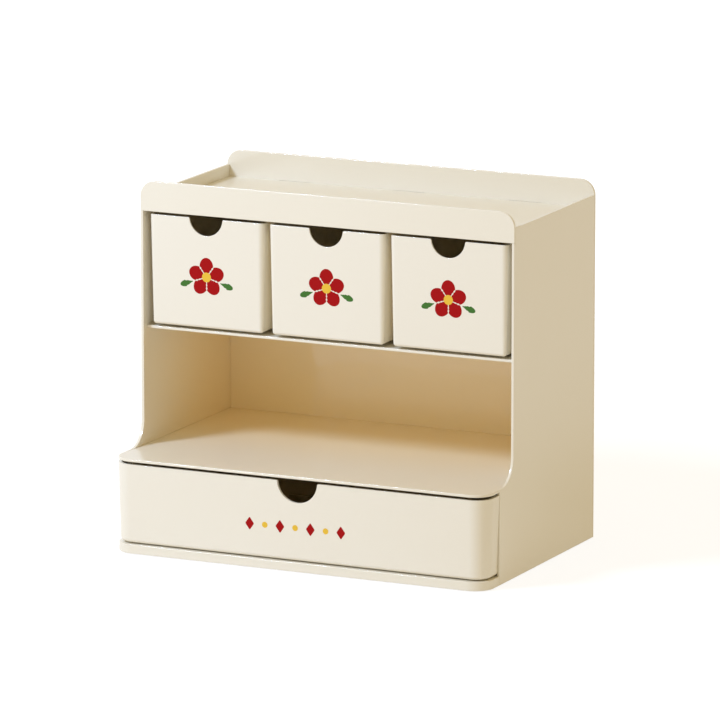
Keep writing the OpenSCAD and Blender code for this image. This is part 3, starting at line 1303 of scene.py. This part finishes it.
@dataclass
class Studio:
    """The floor, the air around it, the key lamp and the camera."""

    floor_size: float = 40.0
    diffuse_bounces: int = 12
    bounces: int = 16
    target: Triple = (0.0, 0.0, 0.12)
    key_way: Triple = (-0.69, -0.9, 1.0)
    key_reach: float = 1.7
    key_size: float = 0.42
    key_watts: float = 21.8
    key_colour: Triple = (0.60, 0.74, 1.0)
    air: Colour = (1.0, 0.78, 0.40, 1.0)
    air_strength: float = 0.63
    lens: float = 359.4
    sensor: float = 36.0
    far: float = 100.0
    turn: float = 25.38
    tilt: float = 11.86
    camera_place: Triple = (2.0625, -4.33775, 1.1385)

    def set_up(self) -> None:
        """Builds the studio."""
        self._lay_floor()
        self._fill_air()
        self._hang_key_lamp()
        scene = bpy.context.scene
        scene.view_settings.view_transform = "Standard"
        scene.cycles.diffuse_bounces = self.diffuse_bounces
        scene.cycles.max_bounces = self.bounces
        self._set_camera()

    def _lay_floor(self) -> None:
        """Lays the floor under the object."""
        bpy.ops.mesh.primitive_plane_add(size=self.floor_size, location=(0, 0, 0))
        floor = bpy.context.object
        floor.name = "StudioFloor"
        floor.data.materials.append(StudioFloor("white_floor").material())

    def _fill_air(self) -> None:
        """Lets the surroundings shine softly, and look white to the camera."""
        world = bpy.data.worlds.new("StudioAir")
        world.use_nodes = True
        bpy.context.scene.world = world
        board = NodeBoard(world.node_tree)
        soft = board.add("ShaderNodeBackground", {"Color": self.air, "Strength": self.air_strength})
        white = board.add("ShaderNodeBackground", {"Color": (1, 1, 1, 1), "Strength": 1.0})
        surface = board.add("ShaderNodeMixShader", {0: board.looked_at(), 1: soft, 2: white})
        board.add("ShaderNodeOutputWorld", {"Surface": surface})

    def _hang_key_lamp(self) -> None:
        """Hangs up the round key lamp, turned to its target."""
        way = Vector(self.key_way).normalized() * self.key_reach
        bpy.ops.object.light_add(type="AREA", location=way + Vector(self.target))
        lamp = bpy.context.object
        lamp.name = "KeyLamp"
        lamp.data.shape = "DISK"
        lamp.data.size = self.key_size
        lamp.data.energy = self.key_watts
        lamp.data.color = self.key_colour
        lamp.rotation_euler = (-way).to_track_quat("-Z", "Y").to_euler()
        lamp.visible_camera = False
        LOG.info("%s: %.1f W", lamp.name, self.key_watts)

    def _set_camera(self) -> None:
        """Places the camera where the photograph was taken from."""
        bpy.ops.object.camera_add(
            location=self.camera_place, rotation=(math.radians(90 - self.tilt), 0, math.radians(self.turn))
        )
        camera = bpy.context.object
        camera.name = "PhotographCamera"
        camera.data.lens = self.lens
        camera.data.sensor_width = self.sensor
        camera.data.clip_end = self.far
        bpy.context.scene.camera = camera


def main() -> None:
    """Builds the unit and its studio."""
    logging.basicConfig(level=logging.INFO, format="%(name)s: %(message)s")
    # Painted shade: warmer tones on the bay's walls and inside the drawers, standing in for the shade and
    # bounced light there
    bay = PaintedShade((0.91, 0.785, 0.53, 1), 138.5, (6.5, 148.2), (-60.0, 60.0, 88.8))
    small_drawer_painted_shade = PaintedShade((0.94, 0.875, 0.715, 1), 139.0, (152.4, 229.0), (-42.5, -34.0, 89.0))
    wide_drawer_painted_shade = PaintedShade((0.97, 0.90, 0.74, 1), 134.8, (8.6, 62.4), (-88.0, -80.0, 89.0))
    cabinet_cream = ((0.83, 0.795, 0.70, 1), (0.79, 0.745, 0.63, 1))
    drawer_cream = ((0.84, 0.81, 0.725, 1), (0.80, 0.76, 0.66, 1))
    cabinet_plastic = GlossPlastic("cream_cabinet_plastic", *cabinet_cream, bay).material()
    small_plastic = GlossPlastic("cream_small_drawer_plastic", *drawer_cream, small_drawer_painted_shade).material()
    wide_plastic = GlossPlastic("cream_wide_drawer_plastic", *drawer_cream, wide_drawer_painted_shade).material()
    rubber = MattRubber("dark_foot_rubber", (0.035, 0.033, 0.03, 1), (0.09, 0.085, 0.08, 1)).material()
    tones = {
        "red": ((0.36, 0.002, 0.004, 1), (0.40, 0.010, 0.010, 1)),
        "yellow": ((0.80, 0.51, 0.045, 1), (0.84, 0.6, 0.12, 1)),
        "green": ((0.05, 0.16, 0.03, 1), (0.1, 0.24, 0.06, 1)),
    }
    inks = {ink: PrintInk(f"{ink}_print_ink", *pair).material() for ink, pair in tones.items()}
    Cabinet().build(cabinet_plastic, rubber)
    DrawerSet().build(small_plastic, wide_plastic, inks)
    Studio().set_up()


if __name__ == "__main__":
    main()
